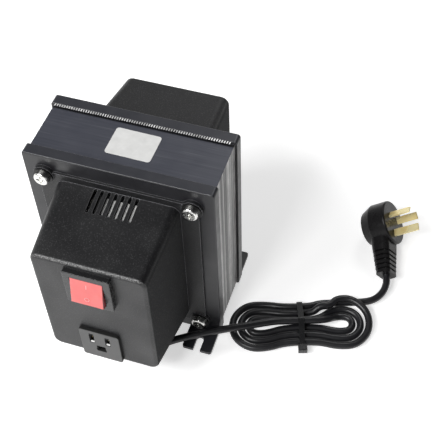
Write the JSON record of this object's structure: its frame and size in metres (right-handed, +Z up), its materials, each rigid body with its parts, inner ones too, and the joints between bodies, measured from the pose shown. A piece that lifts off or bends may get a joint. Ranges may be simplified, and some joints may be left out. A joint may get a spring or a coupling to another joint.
{
  "type": "travel voltage converter",
  "caption": "Step-down autotransformer on slotted feet, with end frames, moulded caps, a red rocker switch, a mains outlet and a tied lead with a right-angle plug.",
  "frame": {"origin": "on the standing surface, under the middle of the converter without its lead", "axes": "+X to the right seen from the front, +Y to the back, away from the switch and outlet, +Z up"},
  "size_m": [0.2795, 0.2239, 0.174],
  "materials": {
    "core_steel": "blue-black oxide, satin, with bright packet edges at the sides",
    "winding": "varnished copper wire",
    "bobbin": "off-white moulding",
    "coil_tape": "off-white insulation tape",
    "frame_paint": "black textured paint with bright worn edges",
    "cap_plastic": "black moulding with a fine grain",
    "bolt_steel": "zinc plate, bright",
    "washer_steel": "blackened steel",
    "nut_steel": "zinc-plated steel",
    "insulating_sleeve": "plain insulating tube",
    "switch_black": "black, satin",
    "rocker_red": "red, glossy, with printed marks",
    "contact_brass": "plain brass",
    "outlet_grey": "dark grey moulding",
    "cord_black": "black sheath, slightly glossy",
    "tie_black": "black nylon",
    "plug_black": "black moulding, slightly glossy",
    "pin_brass": "bright brass",
    "wire_brown": "brown wire insulation",
    "wire_blue": "light blue wire insulation",
    "wire_green": "green and yellow wire insulation",
    "wire_black": "black wire insulation"
  },
  "bodies": {
    "converter": {"e_laminations": "core_steel", "i_laminations": "core_steel", "coil_bobbin": "bobbin", "coil_winding": "winding", "coil_tape": "coil_tape", "front_frame": "frame_paint", "rear_frame": "frame_paint", "front_cap": "cap_plastic", "rear_cap": "cap_plastic", "core_bolts": "bolt_steel", "front_washers": "washer_steel", "rear_washers": "washer_steel", "bolt_nuts": "nut_steel", "bolt_sleeves": "insulating_sleeve", "switch_housing": "switch_black", "switch_terminals": "contact_brass", "outlet_body": "outlet_grey", "outlet_contacts": "contact_brass", "cord_bush": "cord_black", "mains_cord": "cord_black", "cord_hank": "cord_black", "cable_tie": "tie_black", "plug_body": "plug_black", "plug_relief": "plug_black", "plug_pins": "pin_brass", "plug_cord": "cord_black", "joint_cover": "coil_tape", "lead_sheath": "cord_black", "wire_live": "wire_brown", "wire_neutral": "wire_blue", "wire_earth": "wire_green", "wire_switch": "wire_black", "wire_outlet_live": "wire_black", "wire_outlet_neutral": "wire_blue"},
    "rocker": {"switch_rocker": "rocker_red"},
    "contact": {"switch_contact": "contact_brass"}
  },
  "joints": [
    {"name": "rocker_pivot", "type": "hinge", "parent": "converter", "child": "rocker", "pos_m": [0.0004, -0.09035, 0.1232], "axis": [1, 0, 0], "range_deg": [0, 22]},
    {"name": "contact_tip", "type": "hinge", "parent": "converter", "child": "contact", "pos_m": [0.0004, -0.07905, 0.1232], "axis": [1, 0, 0], "range_deg": [-11, 0]}
  ],
  "couplings": [
    {"joint": "contact_tip", "follows": "rocker_pivot", "ratio": -0.5}
  ]
}
